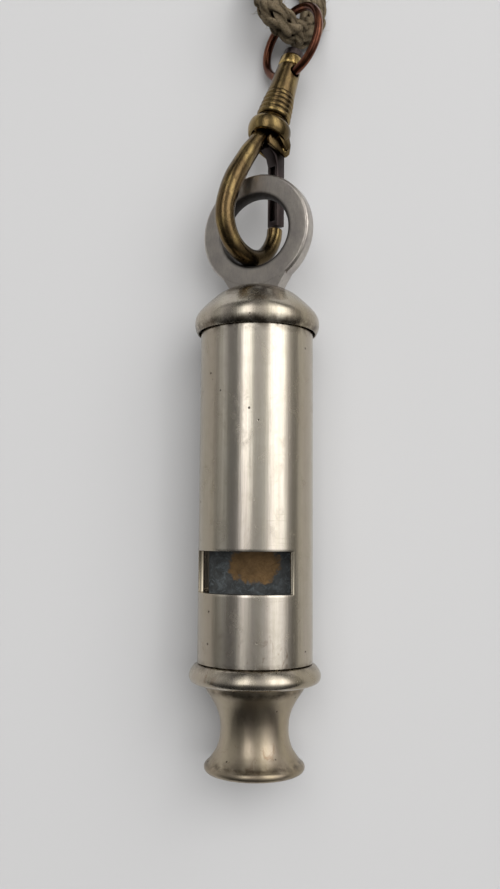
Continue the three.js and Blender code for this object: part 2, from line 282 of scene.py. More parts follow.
def slab(outline, low, high, shell=None):
    """A flat outline in XY between two heights along Z."""
    shell = shell or Shell()
    bottom = shell.ring_of([(x, y, low) for x, y in outline])
    top = shell.ring_of([(x, y, high) for x, y in outline])
    shell.bridge(bottom, top)
    shell.cap(bottom, flip=True)
    shell.cap(top)
    return shell


def carried(line):
    """A direction across a line at each of its points, turning as little as it can."""
    ways = [(line[min(i + 1, len(line) - 1)] - line[max(i - 1, 0)]).normalized() for i in range(len(line))]
    side = ways[0].orthogonal().normalized()
    out = []
    for way in ways:
        side = (side - way * side.dot(way)).normalized()
        out.append((way, side, way.cross(side)))
    return out


def tube(shell, line, radii, sides, section=None):
    """A closed tube along a line. section(i, angle) gives the share of the radius there."""
    rings = []
    for i, (p, (_, a, b)) in enumerate(zip(line, carried(line))):
        r = radii[i] if isinstance(radii, list) else radii
        rings.append(shell.ring_of([
            p + (a * math.cos(t) + b * math.sin(t)) * r * (section(i, t) if section else 1)
            for t in (2 * math.pi * k / sides for k in range(sides))]))
    for a, b in zip(rings, rings[1:]):
        shell.bridge(a, b)
    shell.cap(rings[0], flip=True)
    shell.cap(rings[-1])


def spaced(points, step):
    """The polyline again with even steps."""
    along = [0.0]
    for a, b in zip(points, points[1:]):
        along.append(along[-1] + (b - a).length)
    count = max(2, round(along[-1] / step))
    out, i = [], 0
    for k in range(count + 1):
        at = along[-1] * k / count
        while i < len(points) - 2 and along[i + 1] < at:
            i += 1
        share = (at - along[i]) / max(along[i + 1] - along[i], 1e-9)
        out.append(points[i].lerp(points[i + 1], min(1.0, share)))
    return out


def length_of(points):
    return sum((b - a).length for a, b in zip(points, points[1:]))


def smooth(x, low, high):
    t = min(1.0, max(0.0, (x - low) / (high - low)))
    return t * t * (3 - 2 * t)


# --- material helpers -----------------------------------------------------------------------------

def shader(name, metallic, roughness):
    made = bpy.data.materials.new(name)
    made.use_nodes = True
    tree = made.node_tree
    surface = tree.nodes["Principled BSDF"]
    surface.inputs["Metallic"].default_value = metallic
    surface.inputs["Roughness"].default_value = roughness
    return made, tree, surface


def node(tree, kind, inputs=None, **settings):
    made = tree.nodes.new("ShaderNode" + kind)
    for key, value in settings.items():
        setattr(made, key, value)
    for key, value in (inputs or {}).items():
        if isinstance(value, bpy.types.NodeSocket):
            tree.links.new(value, made.inputs[key])
        else:
            made.inputs[key].default_value = value
    return made


def where_of(tree):
    """Row-frame coordinates in metres."""
    return node(tree, "TexCoord").outputs["Object"]


def place_in(tree, per_mm, shift=(0, 0, 0)):
    """Row-frame coordinates scaled so that one unit is 1/per_mm millimetres."""
    where = where_of(tree)
    scale = [s / MM for s in per_mm]
    return node(tree, "Mapping", {"Vector": where, "Scale": scale, "Location": shift}).outputs[0]


def grain(tree, per_mm, detail, low, high, rough=0.55, shift=(0, 0, 0), distort=0.0):
    """Noise from 0 to 1, sharpened between low and high."""
    made = node(tree, "TexNoise", {
        "Vector": place_in(tree, per_mm, shift), "Scale": 1.0, "Detail": detail, "Roughness": rough,
        "Distortion": distort})
    return span(tree, made.outputs[0], low, high)


def span(tree, value, low, high, to_low=0.0, to_high=1.0):
    return node(tree, "MapRange", {
        "Value": value, "From Min": low, "From Max": high, "To Min": to_low, "To Max": to_high}).outputs[0]


def math_of(tree, operation, a, b=0.0):
    return node(tree, "Math", {0: a, 1: b}, operation=operation).outputs[0]


def vector_of(tree, operation, inputs, output=0):
    return node(tree, "VectorMath", inputs, operation=operation).outputs[output]


def blend_of(tree, share, a, b, mode="MIX"):
    """Colour a, or b where share is 1."""
    made = tree.nodes.new("ShaderNodeMix")
    made.data_type = "RGBA"
    made.blend_type = mode
    for index, value in ((0, share), (6, a), (7, b)):
        if isinstance(value, bpy.types.NodeSocket):
            tree.links.new(value, made.inputs[index])
        elif index:
            made.inputs[index].default_value = (*value, 1)
        else:
            made.inputs[index].default_value = value
    return made.outputs[2]


def over(tree, colour, mask, share, new):
    """The colour, and up to a share of a new one where the mask is."""
    return blend_of(tree, math_of(tree, "MULTIPLY", mask, share), colour, new)


def bump(tree, surface, height, distance_mm):
    made = node(tree, "Bump", {"Height": height, "Distance": distance_mm * MM, "Strength": 1.0})
    tree.links.new(made.outputs[0], surface.inputs["Normal"])


def spots(tree, per_mm, size, share):
    """Scattered small round spots: 1 inside a spot."""
    cells = node(tree, "TexVoronoi", {"Vector": place_in(tree, per_mm), "Scale": 1.0})
    dot = span(tree, cells.outputs["Distance"], size, size * 0.45)
    some = node(tree, "SeparateColor", {"Color": cells.outputs["Color"]}).outputs[0]
    return math_of(tree, "MULTIPLY", dot, math_of(tree, "LESS_THAN", some, share))


def band(tree, y, half):
    """1 at a place along the whistle, falling to 0 half a band away, in millimetres."""
    where = node(tree, "SeparateXYZ", {"Vector": where_of(tree)}).outputs[1]
    centre = (WHISTLE @ Vector((0, y, 0))).y
    away = math_of(tree, "ABSOLUTE", math_of(tree, "SUBTRACT", where, centre))
    return span(tree, away, half * MM, 0.0)


def near_to(tree, point, none, full, share):
    """A share within full millimetres of a point, falling to 0 at none millimetres."""
    away = vector_of(tree, "DISTANCE", {0: where_of(tree), 1: point}, "Value")
    return span(tree, away, none * MM, full * MM, 0.0, share)


# --- materials ------------------------------------------------------------------------------------

# Darker bands along the whistle, and how far each spreads: dirt at the tube's foot, a darker lip, and
# painted shade under the cap's rim, under the collar and on the dome below the loop
DIRT_AND_SHADE = ((TUBE_BASE, 0.8), (CAP_LOW, 1.2), (CAP_LOW + 0.5, 0.8), (LIP_Y + 1.85, 0.9),
         (LIP_Y + 0.4, 0.5), (-28.8, 0.8), (28.5, 2.0))


def make_nickel(name, plate, warmth, warm, roughness, stain_y, left_flank_shade):
    """Worn plate. Browner on both flanks as painted shade, browner in a stained band at stain_y, and darker
    in the bands listed above, which are dirt and painted shade.
    """
    made, tree, surface = shader(name, 1.0, 0.25)
    shade = (0.36, 0.31, 0.23)
    wear = grain(tree, (0.16, 0.05, 0.16), detail=5, low=0.42, high=0.72)
    drawn = grain(tree, (2.6, 0.06, 2.6), detail=4, rough=0.6, low=0.3, high=0.75)
    rubbed = grain(tree, (0.5, 0.35, 0.5), detail=6, rough=0.65, low=0.45, high=0.75, distort=0.6)
    colour = blend_of(tree, math_of(tree, "MULTIPLY", wear, warm), plate, warmth)
    tint = grain(tree, (0.5, 0.03, 0.5), detail=3, low=0.4, high=0.62, shift=(2, 6, 3))
    colour = over(tree, colour, tint, 0.4, [c * k for c, k in zip(plate, (0.88, 0.82, 0.92))])
    colour = over(tree, colour, drawn, 0.24, shade)
    colour = over(tree, colour, rubbed, 0.28, shade)
    scratch = grain(tree, (0.10, 3.2, 0.10), detail=3, rough=0.6, low=0.64, high=0.7, shift=(1, 3, 8))
    colour = over(tree, colour, scratch, 0.22, shade)
    stain = grain(tree, (0.55, 0.4, 0.55), detail=5, rough=0.7, low=0.58, high=0.68, shift=(9, 5, 2),
                  distort=1.0)
    at_band = math_of(tree, "MULTIPLY", band(tree, stain_y, 5.0), 0.7)
    colour = blend_of(tree, math_of(tree, "MULTIPLY", stain, at_band), colour, (0.22, 0.13, 0.07))
    where = node(tree, "SeparateXYZ", {"Vector": where_of(tree)}).outputs[0]
    # painted shade: both flanks browner, standing in for the darker reflections at the sides
    for begin, end, share, brown in ((3.4, 5.6, 0.5, (0.27, 0.215, 0.13)),
                                     (-4.8, -6.1, left_flank_shade, (0.25, 0.205, 0.135))):
        colour = blend_of(tree, span(tree, where, begin * MM, end * MM, 0.0, share), colour, brown)
    pits = spots(tree, (0.75, 0.75, 0.75), 0.14, 0.13)
    colour = over(tree, colour, pits, 0.8, (0.05, 0.04, 0.03))
    band_breakup = grain(tree, (0.9, 0.9, 0.9), detail=4, low=0.35, high=0.6)
    # darker bands: dirt, and painted shade under the cap's rim, under the collar and on the dome
    for y, half in DIRT_AND_SHADE:
        edge = math_of(tree, "MULTIPLY", band(tree, y, half), band_breakup)
        colour = over(tree, colour, edge, 0.75, (0.10, 0.075, 0.05))
    tree.links.new(colour, surface.inputs["Base Color"])
    rough = math_of(tree, "MAXIMUM", span(tree, rubbed, 0, 1, *roughness),
                    span(tree, drawn, 0, 1, roughness[0], roughness[1] * 0.85))
    tree.links.new(math_of(tree, "ADD", rough, math_of(tree, "MULTIPLY", pits, 0.4)),
                   surface.inputs["Roughness"])
    waves = grain(tree, (0.22, 0.05, 0.22), detail=2, low=0, high=1)
    height = math_of(tree, "ADD", math_of(tree, "MULTIPLY", waves, 0.05),
                     math_of(tree, "MULTIPLY", drawn, 0.004))
    height = math_of(tree, "SUBTRACT", height, math_of(tree, "MULTIPLY", pits, 0.03))
    bump(tree, surface, height, 1.0)
    return made


def make_loop_metal():
    """Dull metal, with painted shade round the edge of the hole and inside it."""
    made, tree, surface = shader("dull_loop", 1.0, 0.4)
    cloudy = grain(tree, (0.35, 0.35, 0.35), detail=6, rough=0.65, low=0.35, high=0.7)
    fine = grain(tree, (3.0, 1.1, 3.0), detail=4, low=0.35, high=0.8)
    colour = blend_of(tree, cloudy, (0.43, 0.395, 0.37), (0.58, 0.54, 0.48))
    colour = over(tree, colour, fine, 0.3, (0.2, 0.18, 0.17))
    pits = spots(tree, (0.7, 0.7, 0.7), 0.12, 0.25)
    colour = over(tree, colour, pits, 0.6, (0.07, 0.055, 0.045))
    # painted shade: a dark ring round the hole and on its inner wall
    away = vector_of(tree, "SUBTRACT", {0: where_of(tree), 1: LOOP @ Vector((0, LOOP_Y, 0))})
    axis = LOOP.to_3x3() @ Vector((0, 0, 1 / MM))
    out = vector_of(tree, "CROSS_PRODUCT", {0: away, 1: axis})
    out = vector_of(tree, "LENGTH", {0: out}, "Value")
    hole_shade = span(tree, out, (LOOP_HOLE + 0.85) * MM, (LOOP_HOLE + 0.42) * MM, 0.0, 0.9)
    colour = blend_of(tree, hole_shade, colour, (0.035, 0.032, 0.032))
    tree.links.new(colour, surface.inputs["Base Color"])
    tree.links.new(span(tree, math_of(tree, "ADD", fine, hole_shade), 0, 1.8, 0.3, 0.62),
                   surface.inputs["Roughness"])
    bump(tree, surface, math_of(tree, "ADD", fine, cloudy), 0.012)
    return made


def make_inner_brass():
    """Tarnish and verdigris, with one bare brown patch on the divider under the first window."""
    made, tree, surface = shader("tarnished_inside", 0.0, 0.75)
    cloudy = grain(tree, (0.5, 0.5, 0.5), detail=6, rough=0.7, low=0.35, high=0.65)
    bloom = grain(tree, (0.75, 0.75, 0.75), detail=8, rough=0.75, low=0.5, high=0.68, shift=(3, 1, 5),
                  distort=1.2)
    colour = blend_of(tree, cloudy, (0.028, 0.030, 0.030), (0.075, 0.079, 0.080))
    away = vector_of(tree, "SUBTRACT", {0: where_of(tree), 1: WINDOWS @ Vector((-0.1, -11.4, 0.4))})
    scaled = vector_of(tree, "MULTIPLY", {0: away, 1: (1 / (4.4 * MM), 1 / (2.9 * MM), 1 / (9 * MM))})
    far = vector_of(tree, "LENGTH", {0: scaled}, "Value")
    ragged = math_of(tree, "ADD", far, math_of(tree, "MULTIPLY", cloudy, 0.35))
    patch = span(tree, ragged, 1.12, 0.98)
    colour = over(tree, colour, bloom, 0.85, (0.17, 0.20, 0.21))
    brown = blend_of(tree, cloudy, (0.19, 0.112, 0.046), (0.115, 0.07, 0.031))
    colour = blend_of(tree, patch, colour, brown)
    tree.links.new(colour, surface.inputs["Base Color"])
    tree.links.new(span(tree, cloudy, 0, 1, 0.55, 0.85), surface.inputs["Roughness"])
    bump(tree, surface, math_of(tree, "ADD", cloudy, bloom), 0.06)
    return made


def make_brass(name, dark, gold, share, roughness):
    """Brown patina rubbed through to brass. Darkest, as painted shadow, where the hook lies in the loop,
    then, as painted shade, by its cheeks.
    """
    made, tree, surface = shader(name, 1.0, 0.35)
    worn = grain(tree, (0.32, 0.12, 0.32), detail=5, rough=0.6, low=0.5 - share, high=0.8 - share)
    fine = grain(tree, (2.2, 0.9, 2.2), detail=4, low=0.3, high=0.75)
    spotty = grain(tree, (1.1, 1.1, 1.1), detail=6, rough=0.7, low=0.55, high=0.72, shift=(7, 2, 4))
    colour = blend_of(tree, worn, dark, gold)
    colour = over(tree, colour, fine, 0.25, dark)
    colour = over(tree, colour, spotty, 0.55, [c * 0.35 for c in dark])
    # painted shadow of the loop on the hook where it lies in the loop
    loop_shadow = near_to(tree, LOOP @ Vector((0.2, LOOP_Y - 4.4, -0.6)), none=5.8, full=3.2, share=0.9)
    colour = blend_of(tree, loop_shadow, colour, [c * 0.3 for c in dark])
    # painted shade on the bell's side by the cheeks
    cheek_shade = near_to(tree, WHISTLE @ Vector((4.5, 53.0, 0.0)), none=3.4, full=1.6, share=0.75)
    colour = blend_of(tree, cheek_shade, colour, [c * 0.4 for c in dark])
    tree.links.new(colour, surface.inputs["Base Color"])
    tree.links.new(span(tree, math_of(tree, "ADD", fine, spotty), 0, 1.6, *roughness),
                   surface.inputs["Roughness"])
    bump(tree, surface, math_of(tree, "SUBTRACT", fine, spotty), 0.01)
    return made


def make_steel():
    """Oxidised steel, darkest round the gate's pivot, where the cheeks' shadow is painted."""
    made, tree, surface = shader("oxidised_steel", 1.0, 0.4)
    stain = grain(tree, (0.5, 0.16, 0.5), detail=6, rough=0.65, low=0.4, high=0.7)
    fine = grain(tree, (2.5, 0.5, 2.5), detail=4, low=0.3, high=0.75)
    colour = blend_of(tree, stain, (0.075, 0.058, 0.058), (0.125, 0.098, 0.088))
    # painted shadow of the cheeks round the gate's pivot
    pivot_shadow = near_to(tree, HOOK @ Vector((*GATE_PIVOT, 0)), none=4.2, full=2.6, share=0.75)
    colour = blend_of(tree, pivot_shadow, colour, (0.02, 0.016, 0.015))
    colour = over(tree, colour, fine, 0.35, (0.045, 0.037, 0.039))
    tree.links.new(colour, surface.inputs["Base Color"])
    tree.links.new(span(tree, fine, 0, 1, 0.28, 0.5), surface.inputs["Roughness"])
    bump(tree, surface, fine, 0.012)
    return made


def make_hemp():
    """Weathered hemp, with painted shade where the mesh's per-vertex attribute says that a strand is
    hidden.
    """
    made, tree, surface = shader("plaited_hemp", 0.0, 0.95)
    cloudy = grain(tree, (0.3, 0.3, 0.3), detail=4, low=0.35, high=0.65)
    fibre = grain(tree, (4.5, 1.5, 4.5), detail=7, rough=0.8, low=0.38, high=0.66, distort=0.8)
    speck = grain(tree, (5.5, 5.5, 5.5), detail=3, rough=0.7, low=0.5, high=0.7, shift=(4, 4, 1))
    colour = blend_of(tree, cloudy, (0.26, 0.19, 0.108), (0.42, 0.325, 0.205))
    colour = over(tree, colour, fibre, 0.7, (0.64, 0.53, 0.37))
    colour = over(tree, colour, speck, 0.7, (0.06, 0.045, 0.022))
    # painted shade in the crevices between strands and yarns
    depth = node(tree, "Attribute", attribute_name="crevice_shade").outputs["Fac"]
    colour = over(tree, colour, depth, 0.92, (0.035, 0.025, 0.012))
    tree.links.new(colour, surface.inputs["Base Color"])
    surface.inputs["Specular IOR Level"].default_value = 0.15
    bump(tree, surface, math_of(tree, "ADD", fibre, speck), 0.3)
    return made


# --- lanyard --------------------------------------------------------------------------------------

# The eye's route: out of the whipping, through the ring and back. It is as in the CAD source,
# but for the second leg, which is up to 1.1 nearer the first.
EYE = [
    (0.4, 88.0, LIE), (0.4, 86.4, LIE), (0.45, 84.2, -6.2), (0.6, 81.4, -4.3), (1.0, 77.4, -2.2),
    (1.9, 73.9, -0.9), (3.5, 72.1, -1.2), (5.4, 72.0, -3.7), (7.3, 72.9, -6.3), (8.4, 74.5, LIE),
    (8.8, 76.9, LIE), (8.6, 79.9, LIE), (7.9, 82.3, LIE), (7.0, 84.5, LIE), (6.6, 86.4, LIE),
    (6.6, 88.0, LIE),
]
WHIP_X, WHIP_LOW, WHIP_HIGH, WHIP_HALF_WIDE, WHIP_HALF_HIGH = 3.5, 88.4, 95.7, 5.6, 2.35
LEG_OUT = 3.1                   # each leg's middle is this far from the whipping's
PLAIT_PITCH = 13.0              # length of one turn of a strand
STRANDS = 8
STRAND_OUT, STRAND_WEAVE = 1.5, 0.25            # a strand's distance from the middle, and its weave
STRAND_HALF_WIDE, STRAND_HALF_DEEP = 0.78, 0.5
YARN_TWIST = 1.7                # radians that a strand's yarns turn in a millimetre


def plait(shell, line, sides):
    """A round plait of eight strands, four each way round, each made of two twisted yarns."""
    step = length_of(line) / (len(line) - 1)
    frames = carried(line)
    each_way = STRANDS // 2
    for k in range(STRANDS):
        way = 1 if k < each_way else -1
        start = 2 * math.pi * (k % each_way) / each_way
        middle, out_way = [], []
        for i, (p, (_, a, b)) in enumerate(zip(line, frames)):
            turn = 2 * math.pi * i * step / PLAIT_PITCH
            angle = way * turn + start
            out = STRAND_OUT + way * STRAND_WEAVE * math.cos(each_way * turn)
            radial = a * math.cos(angle) + b * math.sin(angle)
            middle.append(p + radial * out)
            out_way.append(radial)
        rings = []
        for i, p in enumerate(middle):
            along = (middle[min(i + 1, len(middle) - 1)] - middle[max(i - 1, 0)]).normalized()
            out = (out_way[i] - along * out_way[i].dot(along)).normalized()
            across = along.cross(out)
            points, shade_per_side = [], []
            for s in range(sides):
                t = 2 * math.pi * s / sides
                yarn = abs(math.cos(t - i * step * YARN_TWIST * way))
                reach = across * math.cos(t) * STRAND_HALF_WIDE + out * math.sin(t) * STRAND_HALF_DEEP
                points.append(p + reach * (0.74 + 0.28 * yarn))
                # painted shade: darker down between the yarns and on the side that faces the plait's middle
                inward_shade = 0.55 * smooth(-math.sin(t), -0.1, 0.8)
                shade_per_side.append(min(1.0, (1 - yarn) ** 1.3 + inward_shade))
            rings.append(shell.ring_of(points))
            shell.crevice_shade.update(zip(rings[-1], shade_per_side))
        for a, b in zip(rings, rings[1:]):
            shell.bridge(a, b)
        shell.cap(rings[0], flip=True)
        shell.cap(rings[-1])


def fuzz(shell, line, count, seed):
    """Short loose fibres standing off the cord."""
    draw = random.Random(seed)
    for _ in range(count):
        i = draw.randrange(2, len(line) - 2)
        way = (line[i + 1] - line[i - 1]).normalized()
        out = way.orthogonal().normalized()
        out.rotate(Matrix.Rotation(draw.uniform(0, 2 * math.pi), 3, way))
        root = line[i] + out * 1.7
        lean = (out * draw.uniform(0.35, 0.9) + way * draw.uniform(-1, 1)).normalized()
        curl = Vector([draw.uniform(-0.5, 0.5) for _ in range(3)])
        long = draw.uniform(0.4, 1.4)
        hair = [root + lean * long * t + curl * long * t * t for t in (0, 0.35, 0.7, 1.0)]
        if min(p.z for p in hair) > TABLE + 0.1:
            tube(shell, hair, [0.03, 0.028, 0.02, 0.008], 3)


def lap_point(along):
    """A point on the hank's racetrack, clockwise from its near end."""
    quarter = HANK_LANE * math.pi / 2
    near, far = HANK_Y - HANK_HALF, HANK_Y + HANK_HALF
    if along < quarter:
        a = along / HANK_LANE
        return Vector((HANK_X - HANK_LANE * math.sin(a), near - HANK_LANE * math.cos(a), 0))
    along -= quarter
    if along < 2 * HANK_HALF:
        return Vector((HANK_X - HANK_LANE, near + along, 0))
    along -= 2 * HANK_HALF
    if along < 2 * quarter:
        a = along / HANK_LANE
        return Vector((HANK_X - HANK_LANE * math.cos(a), far + HANK_LANE * math.sin(a), 0))
    along -= 2 * quarter
    if along < 2 * HANK_HALF:
        return Vector((HANK_X + HANK_LANE, far - along, 0))
    a = (along - 2 * HANK_HALF) / HANK_LANE
    return Vector((HANK_X + HANK_LANE * math.cos(a), near - HANK_LANE * math.sin(a), 0))


def neck_loop_line():
    """The neck loop's middle line: lead, three laps of the hank one on another, lead."""
    lap = 2 * math.pi * HANK_LANE + 4 * HANK_HALF
    join_at = 13.5               # the leads join this far along the first lap and before the last one's end
    laps = []
    count = 300
    for k in range(count + 1):
        s = join_at + (3 * lap - 2 * join_at) * k / count
        p = lap_point(s % lap)
        p.z = HANK_LOW + HANK_LAYER * (smooth(s, lap - 9, lap + 15) + smooth(s, 2 * lap - 9, 2 * lap + 15))
        laps.append(p)

    def lead(x, end, toward, reach):
        """From the whipping to the hank: a straight stretch and one easy bend."""
        straight = [Vector((x, y, LIE)) for y in (WHIP_HIGH - 0.6, 97.5, 99.5)]
        a, b = straight[-1], end
        bend = []
        for k in range(1, 16):
            t = k / 16
            h = (2 * t ** 3 - 3 * t ** 2 + 1, t ** 3 - 2 * t ** 2 + t,
                 3 * t ** 2 - 2 * t ** 3, t ** 3 - t ** 2)
            bend.append(h[0] * a + h[1] * Vector((0, reach, 0)) + h[2] * b + h[3] * toward * reach)
        return straight + bend

    start = lead(HANK_X - LEG_OUT, laps[0], (laps[1] - laps[0]).normalized(), 16)
    finish = lead(HANK_X + LEG_OUT, laps[-1], (laps[-2] - laps[-1]).normalized(), 16)
    for p in finish:
        t = min(1.0, max(0.0, (p.y - 96.5) / 19))
        p.z = LIE + (laps[-1].z - LIE) * (2 * t * t if t < 0.5 else 1 - 2 * (1 - t) ** 2)
    return start + laps + finish[::-1]


def wrap(shell, centre, half_wide, half_high, low, high, corner, twine, turns):
    """Twine wound as a rounded rectangle in XZ, one turn beside the next along Y, inside the sizes."""
    half_wide, half_high, low, high = half_wide - twine, half_high - twine, low + twine, high - twine
    outline = []
    for cx, cz, begin in ((1, 1, 0), (-1, 1, 90), (-1, -1, 180), (1, -1, 270)):
        for k in range(7):
            a = (begin + 15 * k) * DEG
            outline.append((cx * (half_wide - corner) + corner * math.cos(a),
                            cz * (half_high - corner) + corner * math.sin(a)))
    line = []
    total = len(outline) * turns
    for k in range(total + 1):
        x, z = outline[k % len(outline)]
        y = low + (high - low) * k / total
        line.append(Vector((centre[0] + x, y, centre[1] + z)))
    tube(shell, spaced(line, 0.5), twine, 8, lambda i, t: 1 + 0.12 * math.cos(2 * t + i * 0.6))


def make_eye(hemp):
    line = spaced(spline(EYE, 8), 0.35)
    into_whipping = Vector((0, 0.9, 0))
    line = [line[0] + into_whipping, *line, line[-1] + into_whipping]
    shell = Shell()
    plait(shell, spaced(line, 0.25), 16)
    fuzz(shell, line, 320, seed=11)
    return piece("plaited_eye", shell, WHISTLE, "lanyard", hemp, ["lanyard_eye"], sharp=80)


def make_whipping(hemp):
    """Twine round the two legs, on a plain core."""
    shell = Shell()
    middle = (WHIP_X, TABLE + WHIP_HALF_HIGH)
    wrap(shell, middle, WHIP_HALF_WIDE, WHIP_HALF_HIGH, WHIP_LOW, WHIP_HIGH, corner=1.85, twine=0.43,
         turns=8)
    core_out, core_r, core_in = 3.2, 1.75, 0.35
    outline = []
    for side, begin in ((1, -90), (-1, 90)):
        for k in range(13):
            a = (begin + 15 * k) * DEG
            outline.append((middle[0] + side * core_out + core_r * math.cos(a),
                            middle[1] + core_r * math.sin(a)))
    near = shell.ring_of([(x, WHIP_LOW + core_in, z) for x, z in outline])
    far = shell.ring_of([(x, WHIP_HIGH - core_in, z) for x, z in outline])
    shell.bridge(near, far)
    shell.cap(near, flip=True)
    shell.cap(far)
    return piece("whipping_twine", shell, WHISTLE, "lanyard", hemp, ["lanyard_whipping"],
                 sharp=60)


def make_tie(hemp):
    """Twine round the middle of the hank, in the CAD tie's box."""
    shell = Shell()
    tie_low, tie_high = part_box("hank_tie")
    size = (tie_high - tie_low) / MM
    base = WHISTLE.inverted() @ tie_low
    wrap(shell, (base.x + size.x / 2, base.z + size.z / 2), size.x / 2, size.z / 2, base.y,
         base.y + size.y, corner=2.4, twine=0.33, turns=11)
    return piece("hank_tie_twine", shell, WHISTLE, "lanyard", hemp, ["hank_tie"], sharp=60)


def make_lanyard(hemp):
    """All of it: the neck loop is one cord from the whipping, three times round the hank and back."""
    eye, whipping = make_eye(hemp), make_whipping(hemp)
    line = spaced(neck_loop_line(), 0.6)
    shell = Shell()
    plait(shell, line, 7)
    cord = piece("lanyard_cord", shell, WHISTLE, "lanyard", hemp,
                 ["lanyard_lead_a", "lanyard_lead_b", "lanyard_hank"], sharp=80)
    tie = make_tie(hemp)


# --- whistle --------------------------------------------------------------------------------------

def tube_with_windows():
    """The tube's wall as a grid, left open at the two windows."""
    shell = Shell()
    spans = []
    for middle in (0, math.pi):
        spans.append((middle - WINDOW_HALF, middle + WINDOW_HALF, 40, True))
        spans.append((middle + WINDOW_HALF, middle + math.pi - WINDOW_HALF, 20, False))
    angles, open_at = [], []
    for low, high, count, is_open in spans:
        for k in range(count):
            angles.append(low + (high - low) * k / count)
            open_at.append(is_open)
    edge = 0.12
    heights = [TUBE_BASE + edge, -22, -18, WINDOW_LOW - 0.4, WINDOW_LOW, WINDOW_HIGH, WINDOW_HIGH + 0.4,
               -4, 4, 12, 18, TUBE_TOP - edge]
    grid = {}
    for wall, radius in (("out", TUBE_R), ("in", TUBE_BORE)):
        for j, y in enumerate(heights):
            grid[wall, j] = shell.ring_of([(radius * math.sin(a), y, radius * math.cos(a)) for a in angles])
    window_row = heights.index(WINDOW_LOW)
    count = len(angles)
    for i in range(count):
        n = (i + 1) % count
        for j in range(len(heights) - 1):
            if j == window_row and open_at[i]:
                continue
            for wall in ("out", "in"):
                a, b = grid[wall, j], grid[wall, j + 1]
                shell.faces.append((a[i], a[n], b[n], b[i]))
        if open_at[i]:
            for j in (window_row, window_row + 1):
                a, b = grid["out", j], grid["in", j]
                shell.faces.append((a[i], a[n], b[n], b[i]))
        if open_at[i] != open_at[i - 1]:
            out_low, out_high = grid["out", window_row], grid["out", window_row + 1]
            in_low, in_high = grid["in", window_row], grid["in", window_row + 1]
            shell.faces.append((out_low[i], out_high[i], in_high[i], in_low[i]))
    for j, y in ((0, TUBE_BASE), (len(heights) - 1, TUBE_TOP)):
        rims = [shell.ring_of([(r * math.sin(a), y, r * math.cos(a)) for a in angles])
                for r in (TUBE_R - edge, TUBE_BORE + edge)]
        shell.bridge(grid["out", j], rims[0])
        shell.bridge(rims[0], rims[1])
        shell.bridge(rims[1], grid["in", j])
    return shell


def make_tube(nickel):
    made = piece("tube", tube_with_windows(), WINDOWS, "whistle", nickel, ["barrel_tube"],
                 sharp=50)
    bevel(made, 0.1, angle=60)


def make_cap(dull_nickel):
    """A domed cap, slotted for the loop."""
    dome = spline([(8.78, 22.36), (8.97, 22.7), (9.12, 23.2), (9.17, 23.8), (9.05, 24.55), (8.65, 25.3),
                   (7.85, 26.2), (6.85, 27.15), (5.8, 28.05), (4.5, 28.8), (3.1, 29.3), (1.6, 29.5)], 6)
    under = [(0, 29.5), (0, 28.6), (3.0, 28.4), (4.6, 27.7), (6.0, 26.6), (7.0, 25.5), (7.7, 24.7),
             (CAP_BORE, 24.2), (CAP_BORE, CAP_LOW), (8.75, CAP_LOW)]
    cap = piece("cap", turned([*dome, *under], 144, closed=True), WHISTLE, "whistle", dull_nickel,
                ["cap_dome"])
    half, gap = LOOP_THICK / 2, 0.12         # the loop's half thickness, and the room round it
    slot = on_z(rod(LOOP_R + gap, -half - gap, half + gap, 128), (0, LOOP_Y, 0))
    cut_with(cap, slot, LOOP)


def make_loop(loop_metal):
    """A flat ring with a foot on the cap, and a rivet inside it."""
    half, chamfer = LOOP_THICK / 2, 0.3
    ring = [(LOOP_HOLE + 0.45, -half), (LOOP_R - chamfer, -half), (LOOP_R, chamfer - half),
            (LOOP_R, half - chamfer), (LOOP_R - chamfer, half), (LOOP_HOLE + 0.45, half),
            (LOOP_HOLE + 0.12, half - 0.35), (LOOP_HOLE, half - 0.9), (LOOP_HOLE, 0.9 - half),
            (LOOP_HOLE + 0.12, 0.35 - half)]
    shell = on_z(turned(ring, 160, closed=True, radius=0.2), (0, LOOP_Y, 0))
    rivet = [(0, 27.2), (2.4, 27.2), (2.4, 28.2), (1.4, 28.2), (1.4, 29.9), (0, 30.0)]
    turned(rivet, 48, shell=shell)
    foot = [(-3.9, 28.9), (3.9, 28.9), (3.9, 29.2), (5.1, 31.1), (-5.1, 31.1), (-3.9, 29.2)]
    slab(foot, 0.03 - half, half - 0.03, shell)
    piece("loop", shell, LOOP, "whistle", loop_metal, ["hanging_loop"])


def make_collar(dull_nickel):
    rim = spline([(8.7, -27.92), (9.12, -27.68), (9.36, -27.25), (9.4, -26.8), (9.25, -26.3),
                  (8.95, -25.8), (8.65, -25.45)], 5)
    profile = [(TUBE_BORE, -25.27), (TUBE_BORE, -27.95), (8.5, -27.95), *rim, (8.3, -25.27)]
    piece("collar", turned(profile, 144, closed=True), WHISTLE, "whistle", dull_nickel,
          ["collar_ring"])


def make_mouthpiece(warm_nickel):
    outside = spline([(6.1, -40.3), (6.7, -40.15), (7.02, -39.85), (7.1, -39.5), (7.0, -39.15),
                      (6.7, -38.86), (6.3, -38.45), (5.5, -37.3), (5.13, -36.4), (4.9, -35.4),
                      (4.82, -34.3), (4.9, -33.1), (5.18, -32.0), (5.65, -30.9), (6.25, -29.9),
                      (6.9, -28.95), (7.15, -28.3)], 4)
    throat = [(7.2, -28.1), (7.2, -24.2), (6.4, -24.2), (6.2, -25.6), (3.7, -32.5), (3.4, -36),
              (3.4, -40.35)]
    piece("mouthpiece_turned", turned([*outside, *throat], 144, closed=True, radius=0.2), WHISTLE,
          "whistle", warm_nickel, ["mouthpiece"])


# --- snap hook and ring ---------------------------------------------------------------------------

